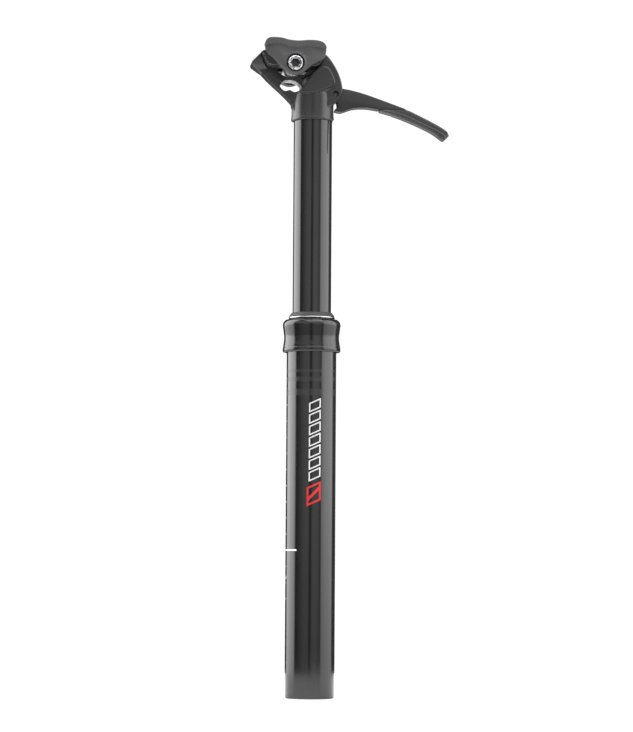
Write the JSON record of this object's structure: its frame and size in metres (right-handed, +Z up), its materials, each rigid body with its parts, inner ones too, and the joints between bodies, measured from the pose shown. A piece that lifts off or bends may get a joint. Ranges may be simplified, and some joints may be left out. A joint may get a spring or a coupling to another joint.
{
  "type": "height-adjustable seatpost",
  "caption": "Telescopic bicycle seatpost: a glossy inner tube slides in an outer tube through a sealed collar; a lever under the tilting saddle clamp releases it.",
  "frame": {"origin": "centre of the base plug's flat hub, on the tube axis, level with the outer tube's foot", "axes": "+Z up the tube axis, +X towards the release lever, +Y to the left when looking along +X"},
  "size_m": [0.1249, 0.0576, 0.4076],
  "materials": {
    "gloss_black": "glossy black anodised",
    "collar_black": "glossy black anodised",
    "satin_black": "satin black paint on forging",
    "lever_black": "satin black anodised",
    "grip_black": "satin moulded sleeve",
    "wiper_rubber": "matte rubber",
    "ring_silver": "bright turned",
    "bare_aluminium": "machined",
    "steel": "ground",
    "bolt_steel": "bright zinc",
    "key_brass": "machined",
    "bushing_plastic": "moulded"
  },
  "bodies": {
    "outer_post": {"outer_tube": "gloss_black", "seal_collar": "collar_black", "dust_wiper": "wiper_rubber", "wiper_ring": "ring_silver", "collar_o_ring": "wiper_rubber", "upper_bushing": "bushing_plastic", "top_out_bumper": "wiper_rubber", "base_plug": "bare_aluminium", "base_circlip": "steel", "gas_cylinder": "steel", "cylinder_gland": "bare_aluminium", "rod_seal": "wiper_rubber"},
    "inner_post": {"inner_tube": "gloss_black", "lower_bushing": "bushing_plastic", "guide_key_1": "key_brass", "guide_key_2": "key_brass", "guide_key_3": "key_brass", "piston_rod": "steel", "gas_piston": "bare_aluminium", "piston_seal": "wiper_rubber", "rod_lock_nut": "steel", "seatpost_head": "satin_black", "lever_pivot_pin": "steel"},
    "release_pin": {"release_pin": "steel"},
    "lever": {"lever_arm": "lever_black", "lever_grip": "grip_black", "adjuster_screw": "steel"},
    "saddle_rocker": {"saddle_cradle": "satin_black", "clamp_sleeve": "steel"},
    "near_ear": {"near_clamp_ear": "satin_black"},
    "far_ear": {"far_clamp_ear": "satin_black", "clamp_nut": "bolt_steel"},
    "clamp_bolt": {"clamp_bolt": "bolt_steel"}
  },
  "joints": [
    {"name": "post_slide", "type": "slide", "parent": "outer_post", "child": "inner_post", "axis": [0, 0, 1], "range_m": [-0.115, 0], "stiffness_N_per_m": 700, "springref_m": 0.357},
    {"name": "lever_pivot", "type": "hinge", "parent": "inner_post", "child": "lever", "pos_m": [0.0134, 0, 0.3755], "axis": [0, -1, 0], "range_deg": [0, 12], "stiffness_Nm_per_rad": 0.8, "springref_deg": -6.88},
    {"name": "release_pin_slide", "type": "slide", "parent": "inner_post", "child": "release_pin", "axis": [0, 0, 1], "range_m": [-0.003, 0]},
    {"name": "clamp_tilt", "type": "hinge", "parent": "inner_post", "child": "saddle_rocker", "pos_m": [-0.0136, 0, 0.4044], "axis": [0, 1, 0], "range_deg": [-15, 15]},
    {"name": "near_ear_slide", "type": "slide", "parent": "saddle_rocker", "child": "near_ear", "axis": [0, -1, 0], "range_m": [0, 0.0016]},
    {"name": "far_ear_slide", "type": "slide", "parent": "saddle_rocker", "child": "far_ear", "axis": [0, 1, 0], "range_m": [0, 0.0016]},
    {"name": "clamp_bolt_turn", "type": "hinge", "parent": "near_ear", "child": "clamp_bolt", "pos_m": [-0.0134, -0.027, 0.3919], "axis": [0, -1, 0], "range_deg": [0, 1080]}
  ],
  "couplings": [
    {"joint": "release_pin_slide", "follows": "lever_pivot", "m_per_rad": -0.0134},
    {"joint": "near_ear_slide", "follows": "clamp_bolt_turn", "m_per_rad": 0.000079577},
    {"joint": "far_ear_slide", "follows": "clamp_bolt_turn", "m_per_rad": 0.000079577}
  ]
}
